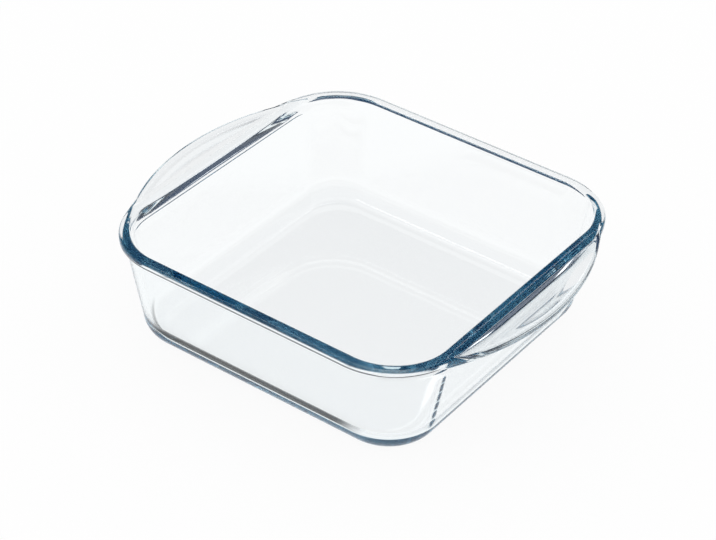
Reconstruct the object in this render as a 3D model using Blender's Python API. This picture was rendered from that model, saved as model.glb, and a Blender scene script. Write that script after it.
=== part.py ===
"""A square pressed-glass baking dish with two lug handles, as one closed solid.

Metres, +Z up. The origin is at the middle of the flat base, on the surface that the dish stands on.
The handles are on the +X and -X sides. The dish is one pressing, so it is one object.
"""

import math

import bmesh
import bpy

# Overall sizes of the pressing.
RIM_WIDTH_X = 0.210
RIM_WIDTH_Y = 0.210
HEIGHT = 0.065
RIM_CORNER_RADIUS = 0.041

# Outer wall. The spread is how far inside the rim's outer face the leaning wall would meet the ground.
WALL_SPREAD = 0.0136
BASE_CORNER_RADIUS = 0.0275
BASE_FILLET_RADIUS = 0.013

# Inside of the dish.
FLOOR_THICKNESS = 0.005
WALL_TOP_THICKNESS = 0.0037
WALL_FOOT_THICKNESS = 0.005
INNER_RIM_CORNER_RADIUS = 0.0336
INNER_FLOOR_CORNER_RADIUS = 0.022
INNER_FILLET_RADIUS = 0.012

# Rim band.
LIP_OVERHANG = 0.0026
LIP_HEIGHT = 0.0038
LIP_TUCK = 0.0001
LIP_LOWER_ROUND = 0.0003
RIM_OUTER_ROUND = 0.0015
RIM_INNER_ROUND = 0.0017

# Handles. The reach is outward from the rim's face. The arc's ends are inset along that face.
HANDLE_REACH = 0.0185
HANDLE_CHORD_INSET = 0.0341
HANDLE_JOINT_SOFTNESS = 0.0014

# A handle's edge. Where the reach is under the full reach, the top and the edge change over to the rim's.
HANDLE_FULL_REACH = 0.006
HANDLE_EDGE_HEIGHT = 0.0068
HANDLE_EDGE_ROUND = 0.0021
HANDLE_EDGE_FOOT_HEIGHT = 0.0029
HANDLE_EDGE_FOOT_INSET = 0.0022

# A handle's underside: a plate, then a ramp and a fillet down to its root on the wall.
HANDLE_ROOT_DEPTH = 0.0090
HANDLE_PLATE_LIFT_SLOPE = 0.07
HANDLE_PLATE_LIFT_SHARE = 0.70
HANDLE_RAMP_SLOPE = 0.36
HANDLE_RAMP_LENGTH = 0.0066
HANDLE_RAMP_FADE = 0.002
HANDLE_ROOT_FILLET_WIDTH = 0.001
HANDLE_ROOT_FILLET_DROP = 0.001
HANDLE_GROWN_WITHIN = 0.002

# A handle's top lies a step below the rim's crest. The step starts this far inside the rim's face.
HANDLE_DROP = 0.0018
HANDLE_STEP_WIDTH = 0.0033
HANDLE_STEP_INSET = 0.0024
HANDLE_SHORTEST_FLAT = 0.001

# The handle fades out round the corner between these cosines of the angle to its direction.
HANDLE_FADE_START = 0.35
HANDLE_FADE_END = 0.75

# How far inside the rim the arc counts as lying where a station doesn't meet it.
HANDLE_BURIED = 0.03

# The narrowest fillet, which keeps its width above zero where the handle ends.
NARROWEST_FILLET = 0.000001

# How finely the outline and the section are divided.
CORNER_STEPS = 12
HANDLE_SIDE_STEPS = 24
PLAIN_SIDE_STEPS = 4
FILLET_STEPS = 6
OUTER_WALL_STEPS = 3
INNER_WALL_STEPS = 3
EDGE_STEPS = 3
STEP_STEPS = 3
UNDERSIDE_STEPS = 6
SHARP_DEGREES = 40.0

# The corners in order round the outline, as the signs of their X and Y.
CORNER_SIGNS = ((1, 1), (-1, 1), (-1, -1), (1, -1))

GLASS_COLOUR = (0.80, 0.92, 0.97, 1.0)
GLASS_IOR = 1.474
GLASS_ROUGHNESS = 0.02


def limit(value, low, high):
    """The value, kept between low and high."""
    return min(max(value, low), high)


def smooth(share):
    """A smooth rise from 0 to 1, flat at both ends."""
    share = limit(share, 0.0, 1.0)
    return share * share * (3.0 - 2.0 * share)


def mix(low, high, share):
    """The value at a share of the way from low to high."""
    return low + (high - low) * share


def quarter_turns(steps):
    """The angles that divide a quarter turn into equal steps, from 0 up."""
    return [math.pi / 2 * step / steps for step in range(steps + 1)]


def stations():
    """Each place round the outline: which corner it turns about, its normal's angle and its share of a side.

    A corner station has share None. A side station lies between the ends of two corners.
    """
    found = []
    side_steps = (PLAIN_SIDE_STEPS, HANDLE_SIDE_STEPS, PLAIN_SIDE_STEPS, HANDLE_SIDE_STEPS)
    for corner, steps in enumerate(side_steps):
        start = 90.0 * corner
        for step in range(CORNER_STEPS + 1):
            found.append((corner, math.radians(start + 90.0 * step / CORNER_STEPS), None))
        for step in range(1, steps):
            found.append((corner, math.radians(start + 90.0), step / steps))
    return found


def outline_point(station, inset, radius):
    """Where a station lies on the rounded square that is inset from the rim by this much.

    A negative inset lies outside the rim, straight out along the station's normal.
    """
    corner, angle, share = station
    outward = max(-inset, 0.0)
    inset = max(inset, 0.0)
    if outward:
        radius = RIM_CORNER_RADIUS
    half_x = RIM_WIDTH_X / 2 - inset - radius
    half_y = RIM_WIDTH_Y / 2 - inset - radius
    sign_x, sign_y = CORNER_SIGNS[corner]
    centre_x, centre_y = sign_x * half_x, sign_y * half_y
    if share is not None:
        next_x, next_y = CORNER_SIGNS[(corner + 1) % 4]
        centre_x = mix(centre_x, next_x * half_x, share)
        centre_y = mix(centre_y, next_y * half_y, share)
    reach = radius + outward
    return centre_x + reach * math.cos(angle), centre_y + reach * math.sin(angle)


def outer_wall_inset(height):
    """How far inside the rim's outer face the outer wall lies at a height."""
    return mix(WALL_SPREAD, LIP_OVERHANG, height / (HEIGHT - LIP_HEIGHT))


def outer_radius(inset):
    """The corner radius of the outer surface at an inset."""
    return mix(RIM_CORNER_RADIUS, BASE_CORNER_RADIUS, inset / WALL_SPREAD)


def inner_wall_inset(height):
    """How far inside the rim's outer face the inner wall lies at a height."""
    foot = WALL_SPREAD + WALL_FOOT_THICKNESS
    return mix(foot, LIP_OVERHANG + WALL_TOP_THICKNESS, height / HEIGHT)


def inner_radius(height):
    """The corner radius of the inner surface at a height."""
    return mix(INNER_FLOOR_CORNER_RADIUS, INNER_RIM_CORNER_RADIUS, height / HEIGHT)


def fillet(wall_inset, level, radius):
    """Points on an arc that joins a flat face at this level to a leaning wall, from the flat face up."""
    top = level + radius
    lean = math.atan2(wall_inset(0.0) - wall_inset(top), top)
    centre_inset = wall_inset(top) + radius / math.cos(lean)
    points = []
    for step in range(FILLET_STEPS + 1):
        turn = (math.pi / 2 - lean) * step / FILLET_STEPS
        points.append((centre_inset - radius * math.sin(turn), top - radius * math.cos(turn)))
    return points


def inner_section():
    """The inside of the dish from the floor's edge up to the top of the rim, as (inset, height, radius)."""
    points = fillet(inner_wall_inset, FLOOR_THICKNESS, INNER_FILLET_RADIUS)
    start = points[-1][1]
    end = HEIGHT - RIM_INNER_ROUND
    climb = [mix(start, end, step / INNER_WALL_STEPS) for step in range(1, INNER_WALL_STEPS + 1)]
    points += [(inner_wall_inset(height), height) for height in climb]
    edge = inner_wall_inset(end)
    for turn in quarter_turns(EDGE_STEPS)[1:]:
        inset = edge - RIM_INNER_ROUND * (1.0 - math.cos(turn))
        points.append((inset, end + RIM_INNER_ROUND * math.sin(turn)))
    return [(inset, height, inner_radius(height)) for inset, height in points]


def handle_arc_radius():
    """The radius of the handle's arc, from its reach and its chord along the rim's face."""
    half_chord = RIM_WIDTH_Y / 2 - HANDLE_CHORD_INSET
    return (half_chord ** 2 + HANDLE_REACH ** 2) / (2 * HANDLE_REACH)


def handle_gap(station):
    """How far the handle's arc lies outside the rim at a station, or below zero where it lies inside."""
    x, y = outline_point(station, 0.0, RIM_CORNER_RADIUS)
    angle = station[1]
    side = 1.0 if x > 0.0 else -1.0
    radius = handle_arc_radius()
    across = x - side * (RIM_WIDTH_X / 2 + HANDLE_REACH - radius)
    towards = across * math.cos(angle) + y * math.sin(angle)
    under_root = towards ** 2 - across ** 2 - y ** 2 + radius ** 2
    if under_root <= 0.0 or side * math.cos(angle) <= 0.0:
        return -HANDLE_BURIED
    return max(math.sqrt(under_root) - towards, -HANDLE_BURIED)


def joined(station, base, edge_inset):
    """How far the body and the handle stand out together, with a soft joint between the two."""
    x = outline_point(station, 0.0, RIM_CORNER_RADIUS)[0]
    facing = math.cos(station[1]) * (1.0 if x > 0.0 else -1.0)
    fade = smooth((facing - HANDLE_FADE_START) / (HANDLE_FADE_END - HANDLE_FADE_START))
    beyond = handle_gap(station) - edge_inset - base
    return base + fade * (beyond + math.hypot(beyond, HANDLE_JOINT_SOFTNESS)) / 2


def top_places(reach, edge_round):
    """The distances outward at which the top surface has points, from the crest of the rim to the edge."""
    crest = -HANDLE_STEP_INSET
    shortest = crest + HANDLE_STEP_WIDTH + edge_round + HANDLE_SHORTEST_FLAT
    longest = max(reach, shortest)
    places = [crest + HANDLE_STEP_WIDTH * step / STEP_STEPS for step in range(STEP_STEPS + 1)]
    flat_end = longest - edge_round
    places.append((places[-1] + flat_end) / 2)
    places += [flat_end + edge_round * math.sin(turn) for turn in quarter_turns(EDGE_STEPS)]
    scale = (reach - crest) / (longest - crest)
    return [crest + (place - crest) * scale for place in places]


def top_height(out, reach, edge_round):
    """The height of the top surface at a distance outward from the rim's outer face."""
    drop = HANDLE_DROP * smooth(reach / HANDLE_FULL_REACH)
    height = HEIGHT - drop * smooth((out + HANDLE_STEP_INSET) / HANDLE_STEP_WIDTH)
    past = limit(out - (reach - edge_round), 0.0, edge_round)
    return height - (edge_round - math.sqrt(edge_round ** 2 - past ** 2))


def band_inset(depth):
    """The inset of the rim band's face, and of the wall under it, at a depth below the top."""
    if depth >= LIP_HEIGHT + LIP_TUCK:
        return outer_wall_inset(HEIGHT - depth)
    if depth > LIP_HEIGHT:
        tucked = outer_wall_inset(HEIGHT - LIP_HEIGHT - LIP_TUCK)
        return mix(LIP_LOWER_ROUND, tucked, (depth - LIP_HEIGHT) / LIP_TUCK)
    share = limit((depth - LIP_HEIGHT) / LIP_LOWER_ROUND + 1.0, 0.0, 1.0)
    return LIP_LOWER_ROUND * (1.0 - math.sqrt(1.0 - share ** 2))


def edge_inset(depth):
    """How far the handle's edge lies inside its arc at a depth below the top."""
    share = limit((depth - HANDLE_EDGE_HEIGHT) / HANDLE_EDGE_FOOT_HEIGHT + 1.0, 0.0, 1.0)
    return HANDLE_EDGE_FOOT_INSET * (1.0 - math.sqrt(1.0 - share ** 2))


def edge_depths(top_end, grown):
    """The depths of the points down the rim band's face, which become the handle's edge where it is grown."""
    turns = [math.sin(turn) for turn in quarter_turns(EDGE_STEPS)]
    round_start = LIP_HEIGHT - LIP_LOWER_ROUND
    band_end = LIP_HEIGHT + LIP_TUCK
    band = [mix(top_end, round_start, 1 / 2)]
    band += [round_start + LIP_LOWER_ROUND * turn for turn in turns]
    band.append(band_end)
    foot_start = HANDLE_EDGE_HEIGHT - HANDLE_EDGE_FOOT_HEIGHT
    depths = []
    for step, plain in enumerate(band, start=1):
        depths.append(mix(plain, mix(top_end, foot_start, step / len(band)), grown))
    for step in range(1, EDGE_STEPS + 1):
        plain = mix(band_end, HANDLE_EDGE_HEIGHT, step / EDGE_STEPS)
        depths.append(mix(plain, foot_start + HANDLE_EDGE_FOOT_HEIGHT * turns[step], grown))
    return depths


def ramp_drop(out):
    """How far the ramp under the handle lies below its plate at a distance out from the wall."""
    faded = limit((out - HANDLE_RAMP_LENGTH) / HANDLE_RAMP_FADE, 0.0, 1.0)
    left = 1 / 2 - faded + faded ** 3 - faded ** 4 / 2
    return HANDLE_RAMP_SLOPE * (max(HANDLE_RAMP_LENGTH - out, 0.0) + HANDLE_RAMP_FADE * left)


def root_fillet_drop(out, span):
    """How far the fillet at the wall adds to that drop."""
    width = max(min(HANDLE_ROOT_FILLET_WIDTH, span / 2), NARROWEST_FILLET)
    near = limit(1.0 - out / width, 0.0, 1.0)
    return HANDLE_ROOT_FILLET_DROP * (1.0 - math.sqrt(1.0 - near ** 2))


def underside(start, low, root):
    """The underside from the edge's foot to the root on the wall, as pairs of distance out and height."""
    end = -outer_wall_inset(root)
    span = max(start - end, 0.0)
    grown = smooth((start + outer_wall_inset(low)) / HANDLE_GROWN_WITHIN)
    lift = HANDLE_PLATE_LIFT_SLOPE * span
    whole = ramp_drop(0.0) - ramp_drop(span) + HANDLE_ROOT_FILLET_DROP
    points = []
    for turn in quarter_turns(UNDERSIDE_STEPS)[1:]:
        share = math.sin(turn)
        out = span * (1.0 - share)
        dropped = ramp_drop(out) - ramp_drop(span) + root_fillet_drop(out, span)
        level = low + lift * smooth(share / HANDLE_PLATE_LIFT_SHARE)
        curved = level - (low + lift - root) * dropped / whole
        points.append((mix(start, end, share), mix(mix(low, root, share), curved, grown)))
    return points


def outer_section(station):
    """The outside from the crest of the rim down to the edge of the flat base, as (inset, height, radius)."""
    reach = joined(station, 0.0, 0.0)
    grown = smooth(reach / HANDLE_FULL_REACH)
    edge_round = mix(RIM_OUTER_ROUND, HANDLE_EDGE_ROUND, grown)
    points = [(out, top_height(out, reach, edge_round)) for out in top_places(reach, edge_round)]
    for depth in edge_depths(HEIGHT - points[-1][1], grown):
        points.append((joined(station, -band_inset(depth), edge_inset(depth)), HEIGHT - depth))

    root = HEIGHT - HANDLE_ROOT_DEPTH
    points += underside(points[-1][0], points[-1][1], root)

    arc = fillet(outer_wall_inset, 0.0, BASE_FILLET_RADIUS)
    top_of_arc = arc[-1][1]
    for step in range(1, OUTER_WALL_STEPS + 1):
        height = mix(root, top_of_arc, step / OUTER_WALL_STEPS)
        points.append((-outer_wall_inset(height), height))
    points += [(-inset, height) for inset, height in reversed(arc[:-1])]
    return [(-out, height, outer_radius(max(-out, 0.0))) for out, height in points]


def glass_material():
    """Clear pressed glass with the faint blue that its thick edges show."""
    material = bpy.data.materials.new("clear_glass")
    material.use_nodes = True
    shader = material.node_tree.nodes["Principled BSDF"]
    shader.inputs["Base Color"].default_value = GLASS_COLOUR
    shader.inputs["Roughness"].default_value = GLASS_ROUGHNESS
    shader.inputs["Metallic"].default_value = 0.0
    shader.inputs["IOR"].default_value = GLASS_IOR
    shader.inputs["Transmission Weight"].default_value = 1.0
    material.diffuse_color = GLASS_COLOUR
    return material


def glass_dish():
    """Sweeps the section round the outline and closes it with the floor and the base."""
    mesh = bpy.data.meshes.new("glass_dish")
    shape = bmesh.new()
    inner = inner_section()
    columns = []
    for station in stations():
        column = []
        for inset, height, radius in inner + outer_section(station):
            x, y = outline_point(station, inset, radius)
            column.append(shape.verts.new((x, y, height)))
        columns.append(column)
    for this, following in zip(columns, columns[1:] + columns[:1]):
        for row in range(len(this) - 1):
            shape.faces.new((this[row], this[row + 1], following[row + 1], following[row]))
    shape.faces.new([column[0] for column in columns])
    shape.faces.new([column[-1] for column in reversed(columns)])
    bmesh.ops.recalc_face_normals(shape, faces=shape.faces)
    shape.to_mesh(mesh)
    shape.free()
    mesh.shade_smooth()
    mesh.set_sharp_from_angle(angle=math.radians(SHARP_DEGREES))
    dish = bpy.data.objects.new("glass_dish", mesh)
    mesh.materials.append(glass_material())
    bpy.context.scene.collection.objects.link(dish)
    return dish


def main():
    """Empties the scene and builds the dish."""
    for old in list(bpy.data.objects):
        bpy.data.objects.remove(old, do_unlink=True)
    glass_dish()


main()
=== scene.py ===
"""Looks of a square pressed-glass baking dish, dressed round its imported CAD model.

Metres, +Z up, in the frame of the CAD. The dish is one pressing, so it is one piece: a finer mesh of the
same section swept round the same outline, which stands for the CAD node. The rest is a pale floor, a soft
studio dome and a camera.
"""

from __future__ import annotations

import logging
import math
from collections.abc import Callable
from dataclasses import dataclass, field
from enum import Enum

import bpy
import numpy as np
from mathutils import Matrix, Vector


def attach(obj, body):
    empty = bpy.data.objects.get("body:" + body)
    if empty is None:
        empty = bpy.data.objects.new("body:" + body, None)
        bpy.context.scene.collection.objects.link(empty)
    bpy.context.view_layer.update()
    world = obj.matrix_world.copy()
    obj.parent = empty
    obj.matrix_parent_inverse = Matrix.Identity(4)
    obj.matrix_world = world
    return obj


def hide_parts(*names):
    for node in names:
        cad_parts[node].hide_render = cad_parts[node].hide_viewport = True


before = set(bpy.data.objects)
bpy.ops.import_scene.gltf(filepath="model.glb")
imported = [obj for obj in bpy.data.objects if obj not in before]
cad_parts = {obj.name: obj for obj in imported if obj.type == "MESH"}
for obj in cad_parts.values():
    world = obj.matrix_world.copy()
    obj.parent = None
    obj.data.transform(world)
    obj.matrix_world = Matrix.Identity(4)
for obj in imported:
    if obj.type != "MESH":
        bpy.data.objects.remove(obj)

LOG = logging.getLogger("glass_dish_scene")
CAD_NODE = "glass_dish"
CAD_BODY = "root"
SMALLEST_WIDTH = 1e-9

Colour = tuple[float, float, float, float]
Value = float | np.ndarray


class Ray(Enum):
    """Kinds of ray that a Light Path node tells apart."""

    CAMERA = "Is Camera Ray"
    GLOSSY = "Is Glossy Ray"
    TRANSMISSION = "Is Transmission Ray"


def smooth(share: Value) -> Value:
    """A smooth rise from 0 to 1, flat at both ends."""
    share = np.clip(share, 0.0, 1.0)
    return share * share * (3.0 - 2.0 * share)


def mix(low: Value, high: Value, share: Value) -> Value:
    """The value at a share of the way from low to high."""
    return low + (high - low) * share


@dataclass(frozen=True)
class Outline:
    """The rounded square that the section is swept round.

    Each station has a place between two corners and a direction that faces straight out.
    """

    half_width: float = 0.105
    corner_radius: float = 0.041
    corner_steps: int = 40
    handle_side_steps: int = 96
    plain_side_steps: int = 32

    def stations(self) -> tuple[np.ndarray, np.ndarray]:
        """The stations in order round the outline.

        Returns:
            The place of each station's arc centre as shares of the half width, and its outward direction.
        """
        signs = np.array([(1, 1), (-1, 1), (-1, -1), (1, -1)], float)
        steps = (self.plain_side_steps, self.handle_side_steps) * 2
        places, angles = [], []
        for corner in range(4):
            start = math.pi / 2 * corner
            turn = np.linspace(0.0, 1.0, self.corner_steps + 1)
            places += [signs[corner]] * len(turn)
            angles += list(start + math.pi / 2 * turn)
            share = np.arange(1, steps[corner]) / steps[corner]
            places += list(mix(signs[corner], signs[(corner + 1) % 4], share[:, None]))
            angles += [start + math.pi / 2] * len(share)
        return np.array(places), np.stack([np.cos(angles), np.sin(angles)], axis=1)

    def ring(self, inset: np.ndarray, radius: np.ndarray) -> np.ndarray:
        """Points of one ring of the sweep.

        Args:
            inset: How far inside the rim's outer face each station lies. Below zero is outside it.
            radius: The corner radius at each station.

        Returns:
            The X and Y of each station.
        """
        places, facing = self.stations()
        outward = np.maximum(-inset, 0.0)
        inward = np.maximum(inset, 0.0)
        radius = np.where(outward > 0.0, self.corner_radius, radius)
        half = self.half_width - inward - radius
        return places * half[:, None] + facing * (radius + outward)[:, None]


@dataclass(frozen=True)
class LugHandles:
    """The two lug handles: a round-edged plate behind an arc, which sinks into the wall past its ends."""

    reach: float = 0.0185
    arc_radius: float = 0.1450
    softness: float = 0.0014
    fade_start: float = 0.35
    fade_end: float = 0.75
    buried: float = 0.03
    full_reach: float = 0.006
    edge_height: float = 0.0068
    edge_round: float = 0.0021
    edge_foot_height: float = 0.0029
    edge_foot_inset: float = 0.0022
    root_depth: float = 0.0090
    root_fillet_width: float = 0.0010
    root_fillet_drop: float = 0.0010
    ramp_slope: float = 0.36
    ramp_full: float = 0.0066
    ramp_fade: float = 0.002
    plate_lift_slope: float = 0.07
    plate_lift_share: float = 0.70
    grown_within: float = 0.002
    seam: float = 0.0005
    seam_steps: tuple[float, ...] = (0.00025, 0.0005, 0.001, 0.0018, 0.003, 0.006)
    seam_shares: tuple[float, ...] = (0.5, 1.0, 1.0, 0.75, 0.35, 0.0)
    drop: float = 0.0018
    step_width: float = 0.0033
    step_start: float = -0.0024
    shortest_flat: float = 0.001

    def gaps(self, outline: Outline) -> np.ndarray:
        """How far the handle's arc lies outside the rim at each station.

        Args:
            outline: The rim's outline.

        Returns:
            The distances, which are below zero where the arc is inside the rim.
        """
        side, facing, points = self._side(outline)
        arc_centre = outline.half_width + self.reach - self.arc_radius
        across = points[:, 0] - side * arc_centre
        along = points[:, 1]
        towards = across * facing[:, 0] + along * facing[:, 1]
        under_root = towards**2 - across**2 - along**2 + self.arc_radius**2
        gap = np.sqrt(np.maximum(under_root, 0.0)) - towards
        met = (under_root > 0.0) & (side * facing[:, 0] > 0.0)
        return np.where(met, np.maximum(gap, -self.buried), -self.buried)

    def joined(self, outline: Outline, base: np.ndarray, edge_inset: np.ndarray) -> np.ndarray:
        """The body and the handle as one, with a soft joint.

        Args:
            outline: The rim's outline.
            base: How far the body alone stands out at each station.
            edge_inset: How far the handle's edge lies inside its arc.

        Returns:
            How far the two stand out together at each station.
        """
        side, facing, _ = self._side(outline)
        fade = smooth((side * facing[:, 0] - self.fade_start) / (self.fade_end - self.fade_start))
        beyond = self.gaps(outline) - edge_inset - base
        return base + fade * 0.5 * (beyond + np.hypot(beyond, self.softness))

    def ramp_drop(self, out: np.ndarray) -> np.ndarray:
        """How far the underside has dropped below the plate.

        Args:
            out: How far out from the wall.

        Returns:
            The drop, which eases out where the ramp meets the plate.
        """
        faded = np.clip((out - self.ramp_full) / self.ramp_fade, 0.0, 1.0)
        left = 0.5 - faded + faded**3 - faded**4 / 2
        return self.ramp_slope * (np.maximum(self.ramp_full - out, 0.0) + self.ramp_fade * left)

    def fillet_drop(self, out: np.ndarray, span: np.ndarray) -> np.ndarray:
        """How far the fillet at the wall adds to that drop.

        Args:
            out: How far out from the wall.
            span: How far out the underside reaches at each station.

        Returns:
            The added drop.
        """
        width = np.minimum(self.root_fillet_width, span / 2) + SMALLEST_WIDTH
        near = np.clip(1.0 - out / width, 0.0, 1.0)
        return self.root_fillet_drop * (1.0 - np.sqrt(1.0 - near**2))

    @staticmethod
    def _side(outline: Outline) -> tuple[np.ndarray, np.ndarray, np.ndarray]:
        """Where each station lies.

        Args:
            outline: The rim's outline.

        Returns:
            1 or -1 for the nearer handle, the outward direction, and the point on the rim's outer face.
        """
        facing = outline.stations()[1]
        count = len(facing)
        points = outline.ring(np.zeros(count), np.full(count, outline.corner_radius))
        return np.where(points[:, 0] > 0.0, 1.0, -1.0), facing, points


@dataclass(frozen=True)
class Walls:
    """The leaning walls and the floor, as insets from the rim's outer face at a height."""

    height: float = 0.065
    spread: float = 0.0136
    base_corner_radius: float = 0.0275
    base_fillet: float = 0.013
    floor_thickness: float = 0.005
    top_thickness: float = 0.0037
    foot_thickness: float = 0.005
    inner_rim_corner_radius: float = 0.0336
    inner_floor_corner_radius: float = 0.022
    inner_fillet: float = 0.012
    lip_overhang: float = 0.0026
    lip_height: float = 0.0038
    fillet_steps: int = 20
    wall_steps: int = 24

    def outer_inset(self, height: Value) -> Value:
        """Inset of the outer wall at a height."""
        return mix(self.spread, self.lip_overhang, height / (self.height - self.lip_height))

    def outer_radius(self, inset: np.ndarray, rim_radius: float) -> np.ndarray:
        """Corner radius of the outer surface at an inset."""
        return mix(rim_radius, self.base_corner_radius, inset / self.spread)

    def inner_inset(self, height: Value) -> Value:
        """Inset of the inner wall at a height."""
        foot = self.spread + self.foot_thickness
        return mix(foot, self.lip_overhang + self.top_thickness, height / self.height)

    def inner_radius(self, height: Value) -> Value:
        """Corner radius of the inner surface at a height."""
        return mix(self.inner_floor_corner_radius, self.inner_rim_corner_radius, height / self.height)

    def fillet(self, inset_at: Callable[[Value], Value], level: float,
               radius: float) -> tuple[np.ndarray, np.ndarray]:
        """An arc that joins a flat face to a leaning wall.

        Args:
            inset_at: The wall's inset as a function of height.
            level: Height of the flat face.
            radius: Radius of the arc.

        Returns:
            Insets and heights, from the flat face up.
        """
        top = level + radius
        lean = math.atan2(inset_at(0.0) - inset_at(top), top)
        centre = inset_at(top) + radius / math.cos(lean)
        turn = (math.pi / 2 - lean) * np.linspace(0.0, 1.0, self.fillet_steps + 1)
        return centre - radius * np.sin(turn), top - radius * np.cos(turn)


@dataclass(frozen=True)
class RimBand:
    """The rounded band round the top of the walls."""

    tuck: float = 0.0001
    lower_round: float = 0.0003
    outer_round: float = 0.0015
    inner_round: float = 0.0017
    edge_steps: int = 8
    step_steps: int = 8
    underside_steps: int = 22
    flat_shares: tuple[float, ...] = (0.25, 0.5, 0.75)
    tuck_shares: tuple[float, ...] = (0.25, 0.5, 0.75, 1.0)


@dataclass(frozen=True)
class ClearGlass:
    """Clear pressed glass, blue where the light runs far inside it."""

    ior: float = 1.474
    clear: Colour = (0.995, 0.998, 0.998, 1.0)
    clearest: Colour = (1.0, 1.0, 1.0, 1.0)
    cast_scale: float = 14.0
    cast_detail: float = 1.0
    absorption_colour: Colour = (0.0, 0.52, 0.71, 1.0)
    absorption_density: float = 5.5
    ripple_scale: float = 30.0
    ripple_detail: float = 1.0
    ripple_height: float = 0.000012
    smudge_scale: float = 55.0
    smudge_detail: float = 3.0
    smudge_start: float = 0.5
    smudge_full: float = 0.75
    roughness_low: float = 0.0
    roughness_high: float = 0.006

    def build(self) -> bpy.types.Material:
        """Makes the material.

        Returns:
            A Principled glass with a ripple and faint smudges, round a volume that absorbs.
        """
        material = bpy.data.materials.new("clear_glass_finish")
        material.use_nodes = True
        tree = material.node_tree
        shader = tree.nodes["Principled BSDF"]
        shader.inputs["Metallic"].default_value = 0.0
        shader.inputs["IOR"].default_value = self.ior
        shader.inputs["Transmission Weight"].default_value = 1.0
        place = tree.nodes.new("ShaderNodeTexCoord").outputs["Object"]
        tree.links.new(self._cast(tree, place), shader.inputs["Base Color"])
        tree.links.new(self._roughness(tree, place), shader.inputs["Roughness"])
        tree.links.new(self._ripple(tree, place), shader.inputs["Normal"])
        inside = tree.nodes.new("ShaderNodeVolumeAbsorption")
        inside.inputs["Color"].default_value = self.absorption_colour
        inside.inputs["Density"].default_value = self.absorption_density
        tree.links.new(inside.outputs[0], tree.nodes["Material Output"].inputs["Volume"])
        return material

    @staticmethod
    def _noise(tree: bpy.types.NodeTree, place: bpy.types.NodeSocket, scale: float,
               detail: float) -> bpy.types.NodeSocket:
        """Noise over the surface.

        Args:
            tree: The material's node tree.
            place: The place on the object.
            scale: How fine the noise is.
            detail: How many finer layers it has.

        Returns:
            The noise's socket.
        """
        noise = tree.nodes.new("ShaderNodeTexNoise")
        noise.inputs["Scale"].default_value = scale
        noise.inputs["Detail"].default_value = detail
        tree.links.new(place, noise.inputs["Vector"])
        return noise.outputs["Fac"]

    def _cast(self, tree: bpy.types.NodeTree, place: bpy.types.NodeSocket) -> bpy.types.NodeSocket:
        """A faint drift of the surface colour, as a pressing has from its melt.

        Args:
            tree: The material's node tree.
            place: The place on the object.

        Returns:
            The colour's socket.
        """
        noise = self._noise(tree, place, self.cast_scale, self.cast_detail)
        blend = tree.nodes.new("ShaderNodeMix")
        blend.data_type = "RGBA"
        tree.links.new(noise, blend.inputs["Factor"])
        low, high = [socket for socket in blend.inputs if socket.type == "RGBA"]
        low.default_value = self.clear
        high.default_value = self.clearest
        return next(socket for socket in blend.outputs if socket.type == "RGBA")

    def _roughness(self, tree: bpy.types.NodeTree, place: bpy.types.NodeSocket) -> bpy.types.NodeSocket:
        """Faint smudges on a fire-polished surface.

        Args:
            tree: The material's node tree.
            place: The place on the object.

        Returns:
            The roughness's socket.
        """
        noise = self._noise(tree, place, self.smudge_scale, self.smudge_detail)
        node = tree.nodes.new("ShaderNodeMapRange")
        tree.links.new(noise, node.inputs["Value"])
        node.inputs["From Min"].default_value = self.smudge_start
        node.inputs["From Max"].default_value = self.smudge_full
        node.inputs["To Min"].default_value = self.roughness_low
        node.inputs["To Max"].default_value = self.roughness_high
        return node.outputs["Result"]

    def _ripple(self, tree: bpy.types.NodeTree, place: bpy.types.NodeSocket) -> bpy.types.NodeSocket:
        """The slow waviness that a mould leaves in pressed glass.

        Args:
            tree: The material's node tree.
            place: The place on the object.

        Returns:
            The normal's socket.
        """
        noise = self._noise(tree, place, self.ripple_scale, self.ripple_detail)
        bump = tree.nodes.new("ShaderNodeBump")
        bump.inputs["Strength"].default_value = 1.0
        bump.inputs["Distance"].default_value = self.ripple_height
        tree.links.new(noise, bump.inputs["Height"])
        return bump.outputs["Normal"]


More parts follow.
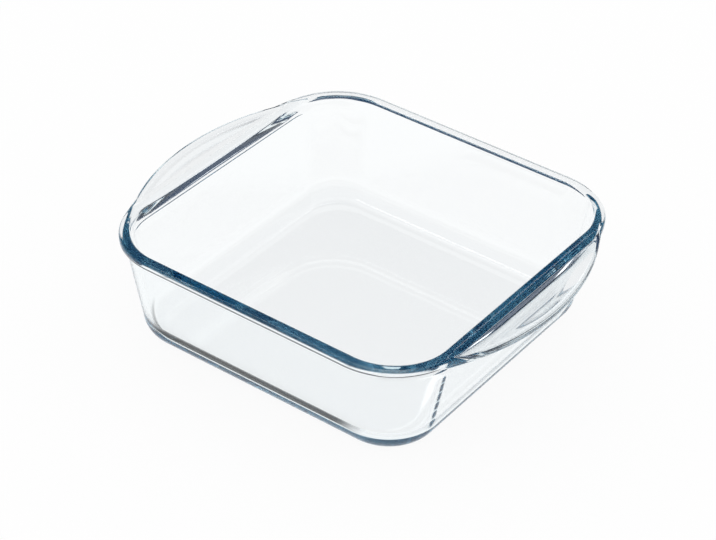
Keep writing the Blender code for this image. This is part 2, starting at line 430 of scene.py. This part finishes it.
@dataclass
class GlassDish:
    """The whole pressing: floor, walls, rim band and both lug handles in one closed mesh."""

    outline: Outline = field(default_factory=Outline)
    walls: Walls = field(default_factory=Walls)
    rim: RimBand = field(default_factory=RimBand)
    handles: LugHandles = field(default_factory=LugHandles)
    glass: ClearGlass = field(default_factory=ClearGlass)
    floor_shares: tuple[float, ...] = (0.25, 0.5, 0.72, 0.88, 0.96, 0.99)

    def build(self) -> bpy.types.Object:
        """Builds and dresses the dish, and puts it in the place of its CAD node.

        Returns:
            The piece.
        """
        rings = self._floor_rings(self._inner_rings(), inside=True)
        rings = self._floor_rings(rings + self._outer_rings(), inside=False)
        piece = self._mesh(rings)
        piece.data.materials.append(self.glass.build())
        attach(piece, CAD_BODY)
        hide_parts(CAD_NODE)
        return piece

    def _place(self, inset: Value, height: Value, radius: Value) -> np.ndarray:
        """One ring of points.

        Args:
            inset: How far inside the rim's outer face each station lies.
            height: Its height.
            radius: The corner radius there.

        Returns:
            The point of each station.
        """
        count = len(self.outline.stations()[0])
        inset, height, radius = (np.broadcast_to(v, count) for v in (inset, height, radius))
        return np.column_stack([self.outline.ring(inset, radius), height])

    def _inner_rings(self) -> list[np.ndarray]:
        """The inside, from the edge of the floor up to the top of the rim's inner edge.

        Returns:
            The rings in order.
        """
        walls, round_ = self.walls, self.rim.inner_round
        insets, heights = walls.fillet(walls.inner_inset, walls.floor_thickness, walls.inner_fillet)
        end = walls.height - round_
        climb = np.linspace(heights[-1], end, walls.wall_steps + 1)[1:]
        insets = np.append(insets, walls.inner_inset(climb))
        heights = np.append(heights, climb)
        turn = math.pi / 2 * np.linspace(0.0, 1.0, self.rim.edge_steps + 1)[1:]
        insets = np.append(insets, walls.inner_inset(end) - round_ * (1.0 - np.cos(turn)))
        heights = np.append(heights, end + round_ * np.sin(turn))
        return [self._place(i, h, walls.inner_radius(h)) for i, h in zip(insets, heights)]

    def _floor_rings(self, rings: list[np.ndarray], inside: bool) -> list[np.ndarray]:
        """Adds shrinking rings over a flat face.

        Args:
            rings: The rings so far.
            inside: Whether the face is the floor, before the first ring, or the base, after the last.

        Returns:
            All the rings.
        """
        edge = rings[0] if inside else rings[-1]
        centre = edge.mean(axis=0)
        flat = [mix(centre, edge, share) for share in self.floor_shares]
        return flat + rings if inside else rings + flat[::-1]

    def _top_places(self, reach: np.ndarray, edge_round: np.ndarray) -> list[np.ndarray]:
        """Distances outward of the top surface's rings, from the crest of the rim to the edge.

        Args:
            reach: How far the top reaches out from the rim's outer face at each station.
            edge_round: Radius of its rounded edge there.

        Returns:
            One array of distances for each ring.
        """
        handles, rim = self.handles, self.rim
        crest = handles.step_start
        shortest = crest + handles.step_width + edge_round + handles.shortest_flat
        longest = np.maximum(reach, shortest)
        shares = np.linspace(0.0, 1.0, rim.step_steps + 1)
        places = [crest + handles.step_width * share + 0.0 * reach for share in shares]
        flat_end = longest - edge_round
        places += [mix(places[-1], flat_end, share) for share in rim.flat_shares]
        turns = math.pi / 2 * np.linspace(0.0, 1.0, rim.edge_steps + 1)
        places += [flat_end + edge_round * math.sin(turn) for turn in turns]
        scale = (reach - crest) / (longest - crest)
        return [crest + (place - crest) * scale for place in places]

    def _top_height(self, out: np.ndarray, reach: np.ndarray, edge_round: np.ndarray) -> np.ndarray:
        """Height of the top surface.

        Args:
            out: How far out from the rim's outer face.
            reach: How far the top reaches out at each station.
            edge_round: Radius of its rounded edge there.

        Returns:
            The height at each station.
        """
        handles = self.handles
        drop = handles.drop * smooth(reach / handles.full_reach)
        height = self.walls.height - drop * smooth((out - handles.step_start) / handles.step_width)
        past = np.clip(out - (reach - edge_round), 0.0, edge_round)
        return height - (edge_round - np.sqrt(edge_round**2 - past**2))

    def _band_inset(self, depth: np.ndarray) -> np.ndarray:
        """Inset of the rim band's outer face, and of the wall under it.

        Args:
            depth: How far below the top.

        Returns:
            The inset at each station.
        """
        walls, rim = self.walls, self.rim
        share = np.clip((depth - walls.lip_height + rim.lower_round) / rim.lower_round, 0.0, 1.0)
        face = rim.lower_round * (1.0 - np.sqrt(1.0 - share**2))
        band_end = walls.lip_height + rim.tuck
        tucked = np.clip((depth - walls.lip_height) / rim.tuck, 0.0, 1.0)
        under = mix(rim.lower_round, walls.outer_inset(walls.height - band_end), tucked)
        wall = walls.outer_inset(walls.height - depth)
        return np.where(depth < walls.lip_height, face, np.where(depth < band_end, under, wall))

    def _edge_depths(self, top_end: np.ndarray, grown: np.ndarray) -> list[np.ndarray]:
        """Depths of the rings down the rim band's face and the handle's edge.

        Args:
            top_end: Depth where the top's rounded edge ends at each station.
            grown: 1 where the handle is full, 0 where there is only the rim band.

        Returns:
            One array of depths for each ring.
        """
        walls, rim, handles = self.walls, self.rim, self.handles
        turns = np.sin(math.pi / 2 * np.linspace(0.0, 1.0, rim.edge_steps + 1))
        round_start = walls.lip_height - rim.lower_round
        band = [mix(top_end, round_start, 0.5)]
        band += [round_start + rim.lower_round * turn + 0.0 * grown for turn in turns]
        band += [walls.lip_height + rim.tuck * share + 0.0 * grown for share in rim.tuck_shares]
        edge_start = handles.edge_height - handles.edge_foot_height
        faces = np.linspace(0.0, 1.0, len(band) + 1)[1:]
        depths = [mix(b, mix(top_end, edge_start, share), grown) for b, share in zip(band, faces)]
        band_end = walls.lip_height + rim.tuck
        falls = np.linspace(0.0, 1.0, len(turns))[1:]
        plain = [mix(band_end, handles.edge_height, share) for share in falls]
        rounded = [edge_start + handles.edge_foot_height * t for t in turns[1:]]
        return depths + [mix(p, r, grown) for p, r in zip(plain, rounded)]

    def _edge_inset(self, depth: np.ndarray) -> np.ndarray:
        """How far the handle's edge lies inside its arc.

        Args:
            depth: How far below the top.

        Returns:
            The inset at each station.
        """
        handles = self.handles
        share = np.clip((depth - handles.edge_height) / handles.edge_foot_height + 1.0, 0.0, 1.0)
        return handles.edge_foot_inset * (1.0 - np.sqrt(1.0 - share**2))

    def _underside(self, start: np.ndarray, low: np.ndarray,
                   root: float) -> list[tuple[np.ndarray, np.ndarray]]:
        """The underside from the handle's edge to its root on the wall.

        Args:
            start: How far out the edge's foot is at each station.
            low: Height of the edge's foot.
            root: Height of the root on the wall.

        Returns:
            How far out, and the height, for each ring.
        """
        walls, handles = self.walls, self.handles
        end = -walls.outer_inset(root)
        span = np.maximum(start - end, 0.0)
        grown = smooth((start + walls.outer_inset(low)) / handles.grown_within)
        lift = handles.plate_lift_slope * span
        whole = handles.ramp_drop(0.0 * span) - handles.ramp_drop(span) + handles.root_fillet_drop
        section = []
        for step in range(1, self.rim.underside_steps + 1):
            share = math.sin(math.pi / 2 * step / self.rim.underside_steps)
            out = span * (1.0 - share)
            dropped = handles.ramp_drop(out) - handles.ramp_drop(span) + handles.fillet_drop(out, span)
            level = low + lift * smooth(share / handles.plate_lift_share)
            curved = level - (low + lift - root) * dropped / whole
            section.append((mix(start, end, share), mix(mix(low, root, share), curved, grown)))
        return section

    def _outer_rings(self) -> list[np.ndarray]:
        """The outside, from the crest of the rim down to the edge of the flat base.

        Returns:
            The rings in order.
        """
        walls, rim, handles = self.walls, self.rim, self.handles
        plain = np.zeros(len(self.outline.stations()[0]))
        reach = handles.joined(self.outline, plain, plain)
        grown = smooth(reach / handles.full_reach)
        edge_round = mix(rim.outer_round, handles.edge_round, grown)
        places = self._top_places(reach, edge_round)
        section = [(out, self._top_height(out, reach, edge_round)) for out in places]
        for depth in self._edge_depths(walls.height - section[-1][1], grown):
            out = handles.joined(self.outline, -self._band_inset(depth), self._edge_inset(depth))
            section.append((out, walls.height - depth))

        start, low = section[-1]
        root = walls.height - handles.root_depth
        section += self._underside(start, low, root)
        seam = handles.seam * smooth((start + walls.outer_inset(low)) / handles.grown_within)
        for below, share in zip(handles.seam_steps, handles.seam_shares):
            section.append((-walls.outer_inset(root - below) + seam * share, root - below))
        below_seam = root - handles.seam_steps[-1]
        insets, heights = walls.fillet(walls.outer_inset, 0.0, walls.base_fillet)
        for share in np.linspace(0.0, 1.0, walls.wall_steps + 1)[1:]:
            height = mix(below_seam, heights[-1], share)
            section.append((-walls.outer_inset(height), height))
        section += [(-i, h) for i, h in zip(insets[-2::-1], heights[-2::-1])]
        radius = self.outline.corner_radius
        return [self._place(-o, h, walls.outer_radius(np.maximum(-o, 0.0), radius)) for o, h in section]

    @staticmethod
    def _mesh(rings: list[np.ndarray]) -> bpy.types.Object:
        """A closed, smooth-shaded mesh, with a small flat cap at each end.

        Args:
            rings: The rings in order, each with a point for each station.

        Returns:
            The mesh's object, in the scene.
        """
        count = len(rings[0])
        points = np.concatenate(rings)
        column = np.arange(count)
        following = np.roll(column, -1)
        quads = [
            np.column_stack([row * count + column, (row + 1) * count + column,
                             (row + 1) * count + following, row * count + following])
            for row in range(len(rings) - 1)
        ]
        faces = np.concatenate(quads).tolist()
        faces.append(column.tolist())
        faces.append((column + (len(rings) - 1) * count)[::-1].tolist())
        mesh = bpy.data.meshes.new("dish_of_pressed_glass")
        mesh.from_pydata(points.tolist(), [], faces)
        mesh.validate()
        mesh.shade_smooth()
        piece = bpy.data.objects.new("dish_of_pressed_glass", mesh)
        bpy.context.scene.collection.objects.link(piece)
        return piece


def maths(tree: bpy.types.NodeTree, operation: str, first: float | bpy.types.NodeSocket,
          second: float | bpy.types.NodeSocket = 0.0) -> bpy.types.NodeSocket:
    """A Math node on two sockets or numbers.

    Args:
        tree: The node tree that it goes in.
        operation: What the node does.
        first: The first socket or number.
        second: The second one, which some operations don't use.

    Returns:
        The result's socket.
    """
    node = tree.nodes.new("ShaderNodeMath")
    node.operation = operation
    for socket, value in zip(node.inputs, (first, second)):
        if isinstance(value, bpy.types.NodeSocket):
            tree.links.new(value, socket)
        else:
            socket.default_value = value
    return node.outputs[0]


def soft_range(tree: bpy.types.NodeTree, value: bpy.types.NodeSocket, start: float,
               end: float) -> bpy.types.NodeSocket:
    """A smooth rise from 0 to 1 as a value goes from start to end.

    Args:
        tree: The node tree that it goes in.
        value: The value's socket.
        start: The value that gives 0.
        end: The value that gives 1.

    Returns:
        The result's socket.
    """
    node = tree.nodes.new("ShaderNodeMapRange")
    node.interpolation_type = "SMOOTHSTEP"
    tree.links.new(value, node.inputs["Value"])
    node.inputs["From Min"].default_value = start
    node.inputs["From Max"].default_value = end
    return node.outputs["Result"]


def seen_share(tree: bpy.types.NodeTree, shares: dict[Ray, float]) -> bpy.types.NodeSocket:
    """A factor for a mix, from what kind of ray looks.

    Args:
        tree: The node tree that it goes in.
        shares: The factor for each kind of ray. It is 0 for the others.

    Returns:
        The factor's socket.
    """
    light_path = tree.nodes.new("ShaderNodeLightPath")
    largest = None
    for ray, share in shares.items():
        scaled = maths(tree, "MULTIPLY", light_path.outputs[ray.value], share)
        largest = scaled if largest is None else maths(tree, "MAXIMUM", largest, scaled)
    return largest


@dataclass(frozen=True)
class PaleFloor:
    """A plain white floor that the dish stands on, with a painted shadow along its front that only rays
    through the glass see.
    """

    half_size: float = 6.0
    gap: float = 0.0003
    colour: Colour = (0.92, 0.92, 0.92, 1.0)
    glow_in_view: float = 0.93
    glow_in_glass: float = 1.0
    # The shade fields set a painted shadow strip on the floor, seen only through the glass.
    shade_depth: float = 0.98
    shade_centre: tuple[float, float, float] = (-0.012, 0.0, 0.0)
    shade_flat: tuple[float, float, float] = (0.060, 0.052, 1.0)
    shade_start: float = 0.029
    shade_end: float = 0.056
    shade_fade: float = 0.003
    shade_right_end: float = 0.045
    shade_left_end: float = -0.055
    shade_end_fade: float = 0.02
    shade_gap_start: float = 0.005
    shade_gap_end: float = 0.022

    def build(self) -> bpy.types.Object:
        """Makes the floor.

        Returns:
            The floor.
        """
        mesh = bpy.data.meshes.new("pale_floor")
        half, level = self.half_size, -self.gap
        corners = [(-half, -half, level), (half, -half, level), (half, half, level), (-half, half, level)]
        mesh.from_pydata(corners, [], [(0, 1, 2, 3)])
        floor = bpy.data.objects.new("pale_floor", mesh)
        bpy.context.scene.collection.objects.link(floor)
        mesh.materials.append(self._material())
        return floor

    def _material(self) -> bpy.types.Material:
        """Diffuse white that shows as a white background, and still takes the dish's shadow.

        Returns:
            The material.
        """
        material = bpy.data.materials.new("pale_floor_finish")
        material.use_nodes = True
        tree = material.node_tree
        shader = tree.nodes["Principled BSDF"]
        shader.inputs["Base Color"].default_value = self.colour
        shader.inputs["Roughness"].default_value = 1.0
        shader.inputs["Specular IOR Level"].default_value = 0.0
        glow = tree.nodes.new("ShaderNodeEmission")
        tree.links.new(self._glow_colour(tree), glow.inputs["Color"])
        blend = tree.nodes.new("ShaderNodeMixShader")
        shares = {Ray.CAMERA: self.glow_in_view, Ray.GLOSSY: self.glow_in_glass,
                  Ray.TRANSMISSION: self.glow_in_glass}
        tree.links.new(seen_share(tree, shares), blend.inputs["Fac"])
        tree.links.new(shader.outputs[0], blend.inputs[1])
        tree.links.new(glow.outputs[0], blend.inputs[2])
        tree.links.new(blend.outputs[0], tree.nodes["Material Output"].inputs["Surface"])
        return material

    def _glow_colour(self, tree: bpy.types.NodeTree) -> bpy.types.NodeSocket:
        """White, with a painted shadow along the front, seen only by rays that leave the glass close above
        the floor.

        Args:
            tree: The node tree that it goes in.

        Returns:
            The brightness's socket.
        """
        place = tree.nodes.new("ShaderNodeTexCoord").outputs["Object"]
        split = tree.nodes.new("ShaderNodeSeparateXYZ")
        tree.links.new(place, split.inputs[0])
        distance = self._from_middle(tree, place)
        right, left, fade = self.shade_right_end, self.shade_left_end, self.shade_end_fade
        glass_gap = tree.nodes.new("ShaderNodeLightPath").outputs["Ray Length"]
        limits = (
            (glass_gap, self.shade_gap_end, self.shade_gap_start),
            (distance, self.shade_start, self.shade_start + self.shade_fade),
            (distance, self.shade_end + self.shade_fade, self.shade_end),
            (split.outputs["X"], right + fade, right),
            (split.outputs["Y"], left, left - fade),
        )
        dark = seen_share(tree, {Ray.TRANSMISSION: self.shade_depth})
        for value, low, high in limits:
            dark = maths(tree, "MULTIPLY", dark, soft_range(tree, value, low, high))
        return maths(tree, "SUBTRACT", 1.0, dark)

    def _from_middle(self, tree: bpy.types.NodeTree, place: bpy.types.NodeSocket) -> bpy.types.NodeSocket:
        """Distance outside a flat rectangle under the dish.

        Args:
            tree: The node tree that it goes in.
            place: The place on the floor.

        Returns:
            The distance's socket.
        """
        steps = (("SUBTRACT", self.shade_centre), ("ABSOLUTE", None), ("SUBTRACT", self.shade_flat),
                 ("MAXIMUM", (0.0, 0.0, 0.0)))
        for operation, value in steps:
            node = tree.nodes.new("ShaderNodeVectorMath")
            node.operation = operation
            tree.links.new(place, node.inputs[0])
            if value is not None:
                node.inputs[1].default_value = value
            place = node.outputs[0]
        length = tree.nodes.new("ShaderNodeVectorMath")
        length.operation = "LENGTH"
        tree.links.new(place, length.inputs[0])
        return length.outputs["Value"]


@dataclass(frozen=True)
class Softbox:
    """A soft-edged strip lamp in the dome, as directions from the dish.

    It lies towards one direction and runs along another. Its half length and half width are sines.
    """

    towards: tuple[float, float, float]
    along: tuple[float, float, float]
    half_length: float
    half_width: float
    strength: float
    edge: float = 0.4

    def add(self, tree: bpy.types.NodeTree, direction: bpy.types.NodeSocket,
            total: bpy.types.NodeSocket) -> bpy.types.NodeSocket:
        """Adds the strip's light.

        Args:
            tree: The world's node tree.
            direction: The direction looked in.
            total: The light so far.

        Returns:
            The light with the strip in it.
        """
        middle = Vector(self.towards).normalized()
        length = (Vector(self.along) - Vector(self.along).dot(middle) * middle).normalized()
        share = maths(tree, "MULTIPLY", self._within(tree, direction, middle, 1.0, 1.0), self.strength)
        for axis, half in ((length, self.half_length), (middle.cross(length), self.half_width)):
            share = maths(tree, "MULTIPLY", share, self._within(tree, direction, axis, 0.0, half))
        added = tree.nodes.new("ShaderNodeVectorMath")
        added.operation = "ADD"
        tree.links.new(total, added.inputs[0])
        tree.links.new(share, added.inputs[1])
        return added.outputs[0]

    def _within(self, tree: bpy.types.NodeTree, direction: bpy.types.NodeSocket, axis: Vector,
                middle: float, half: float) -> bpy.types.NodeSocket:
        """Whether a direction's cosine with an axis is near a value.

        Args:
            tree: The world's node tree.
            direction: The direction looked in.
            axis: The axis.
            middle: The cosine in the middle of the strip.
            half: How far the cosine may be from it.

        Returns:
            1 well within that distance, 0 past it, with a soft edge.
        """
        cosine = tree.nodes.new("ShaderNodeVectorMath")
        cosine.operation = "DOT_PRODUCT"
        tree.links.new(direction, cosine.inputs[0])
        cosine.inputs[1].default_value = axis
        off = maths(tree, "ABSOLUTE", maths(tree, "SUBTRACT", cosine.outputs["Value"], middle))
        return soft_range(tree, off, half, half * (1.0 - self.edge))


@dataclass(frozen=True)
class StudioDome:
    """A white studio: plain light for the floor, and for the glass a white horizon under a dim ceiling."""

    plain: Colour = (1.0, 1.0, 1.0, 1.0)
    horizon: Colour = (1.0, 1.0, 1.0, 1.0)
    ceiling_edge: Colour = (0.030, 0.036, 0.046, 1.0)
    ceiling: Colour = (0.010, 0.042, 0.105, 1.0)
    horizon_top: float = 0.06
    ceiling_start: float = 0.28
    overhead_start: float = 0.72
    softboxes: tuple[Softbox, ...] = (
        Softbox(towards=(-0.33, 0.66, 0.675), along=(0.0, 1.0, 0.0),
                half_length=0.16, half_width=0.04, strength=1.8),
        Softbox(towards=(-0.465, 0.07, 0.88), along=(1.0, 0.0, 0.0),
                half_length=0.18, half_width=0.05, strength=3.0),
    )

    def build(self) -> bpy.types.World:
        """Makes the world and gives it to the scene.

        Returns:
            The world.
        """
        world = bpy.data.worlds.new("studio_dome")
        world.use_nodes = True
        tree = world.node_tree
        plain = tree.nodes["Background"]
        plain.inputs["Color"].default_value = self.plain
        studio = tree.nodes.new("ShaderNodeBackground")
        tree.links.new(self._studio_light(tree), studio.inputs["Color"])
        blend = tree.nodes.new("ShaderNodeMixShader")
        shares = {Ray.GLOSSY: 1.0, Ray.TRANSMISSION: 1.0}
        tree.links.new(seen_share(tree, shares), blend.inputs["Fac"])
        tree.links.new(plain.outputs[0], blend.inputs[1])
        tree.links.new(studio.outputs[0], blend.inputs[2])
        tree.links.new(blend.outputs[0], tree.nodes["World Output"].inputs["Surface"])
        bpy.context.scene.world = world
        return world

    def _studio_light(self, tree: bpy.types.NodeTree) -> bpy.types.NodeSocket:
        """The light that the glass sees from each direction.

        Args:
            tree: The world's node tree.

        Returns:
            The light's socket.
        """
        direction = tree.nodes.new("ShaderNodeTexCoord").outputs["Generated"]
        split = tree.nodes.new("ShaderNodeSeparateXYZ")
        tree.links.new(direction, split.inputs[0])
        ramp = tree.nodes.new("ShaderNodeValToRGB")
        ramp.color_ramp.interpolation = "EASE"
        tree.links.new(split.outputs["Z"], ramp.inputs["Fac"])
        stops = ramp.color_ramp.elements
        stops[0].position, stops[0].color = self.horizon_top, self.horizon
        stops[1].position, stops[1].color = self.ceiling_start, self.ceiling_edge
        stops.new(self.overhead_start).color = self.ceiling
        total = ramp.outputs["Color"]
        for softbox in self.softboxes:
            total = softbox.add(tree, direction, total)
        return total


@dataclass(frozen=True)
class PhotoCamera:
    """A camera at the photograph's viewing angle."""

    azimuth_deg: float = 35.20
    elevation_deg: float = 36.18
    roll_deg: float = 2.18
    distance: float = 1.239
    focal_px: float = 2265.0
    image_width_px: float = 716.0
    sensor_width_mm: float = 36.0
    target: tuple[float, float, float] = (-0.00362, 0.00067, 0.02896)

    def build(self) -> bpy.types.Object:
        """Makes the camera and gives it to the scene.

        Returns:
            The camera.
        """
        azimuth, elevation = math.radians(self.azimuth_deg), math.radians(self.elevation_deg)
        level = math.cos(elevation)
        back = Vector((math.sin(azimuth) * level, -math.cos(azimuth) * level, math.sin(elevation)))
        across = Vector((math.cos(azimuth), math.sin(azimuth), 0.0))
        above = back.cross(across)
        turn = math.radians(self.roll_deg)
        right = math.cos(turn) * across + math.sin(turn) * above
        up = -math.sin(turn) * across + math.cos(turn) * above
        data = bpy.data.cameras.new("photo_camera")
        data.sensor_width = self.sensor_width_mm
        data.lens = self.focal_px / self.image_width_px * self.sensor_width_mm
        camera = bpy.data.objects.new("photo_camera", data)
        axes = Matrix((right, up, back)).transposed().to_4x4()
        camera.matrix_world = Matrix.Translation(Vector(self.target) + back * self.distance) @ axes
        bpy.context.scene.collection.objects.link(camera)
        bpy.context.scene.camera = camera
        return camera


@dataclass(frozen=True)
class LightPaths:
    """How many times light may turn, so that it can run its whole way inside the glass."""

    most: int = 160
    through_glass: int = 160
    mirrored: int = 160
    scattered: int = 3

    def apply(self) -> None:
        """Sets the limits on the scene."""
        cycles = bpy.context.scene.cycles
        cycles.max_bounces = self.most
        cycles.transmission_bounces = self.through_glass
        cycles.glossy_bounces = self.mirrored
        cycles.diffuse_bounces = self.scattered


def main() -> None:
    """Builds the camera, the dish and its surroundings in order, and reports each piece."""
    logging.basicConfig(level=logging.INFO, format="%(name)s: %(message)s")
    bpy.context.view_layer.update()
    bpy.context.scene.view_settings.view_transform = "Standard"
    LightPaths().apply()
    camera = PhotoCamera().build()
    LOG.info("camera %s, %.1f mm lens", camera.name, camera.data.lens)
    dish = GlassDish().build()
    LOG.info("piece %s, %d faces", dish.name, len(dish.data.polygons))
    floor = PaleFloor().build()
    LOG.info("stage %s", floor.name)
    world = StudioDome().build()
    LOG.info("world %s", world.name)


if __name__ == "__main__":
    main()
